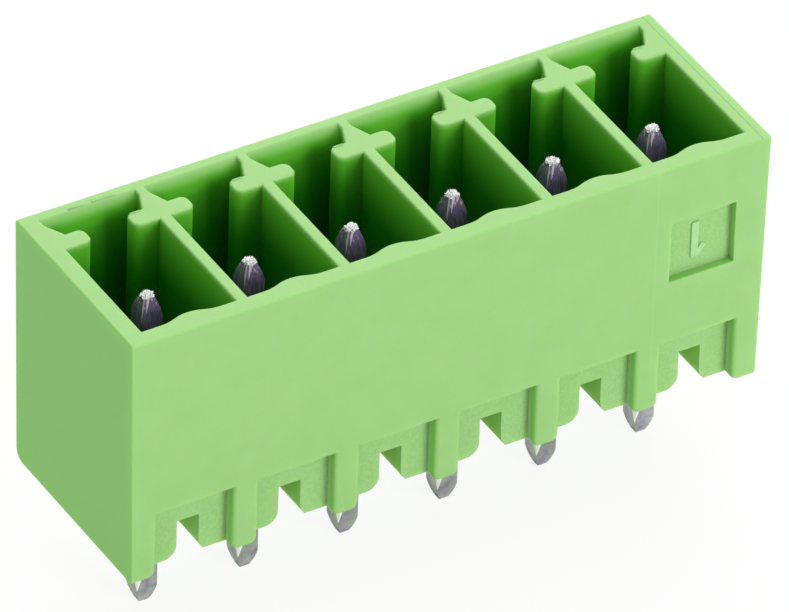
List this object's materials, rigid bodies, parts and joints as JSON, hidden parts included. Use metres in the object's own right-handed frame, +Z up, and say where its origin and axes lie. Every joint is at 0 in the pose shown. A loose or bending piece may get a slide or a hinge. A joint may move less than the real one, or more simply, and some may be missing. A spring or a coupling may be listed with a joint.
{
  "type": "pin header",
  "caption": "Shrouded pin header: a moulded plastic housing, open at the top, with a row of square metal pins in separate keyed cells, for a pluggable terminal block.",
  "frame": {"origin": "middle of the row of pins, on the face of the board that the header sits on", "axes": "+X along the row of pins towards the number recess, +Y from the housing's front to its back, +Z up out of the board towards the open side"},
  "size_m": [0.022, 0.0071, 0.0124],
  "materials": {
    "housing": "moulded, satin",
    "pin": "tin plated"
  },
  "bodies": {
    "root": {"housing": "housing", "pin_1": "pin", "pin_2": "pin", "pin_3": "pin", "pin_4": "pin", "pin_5": "pin", "pin_6": "pin"}
  },
  "joints": []
}
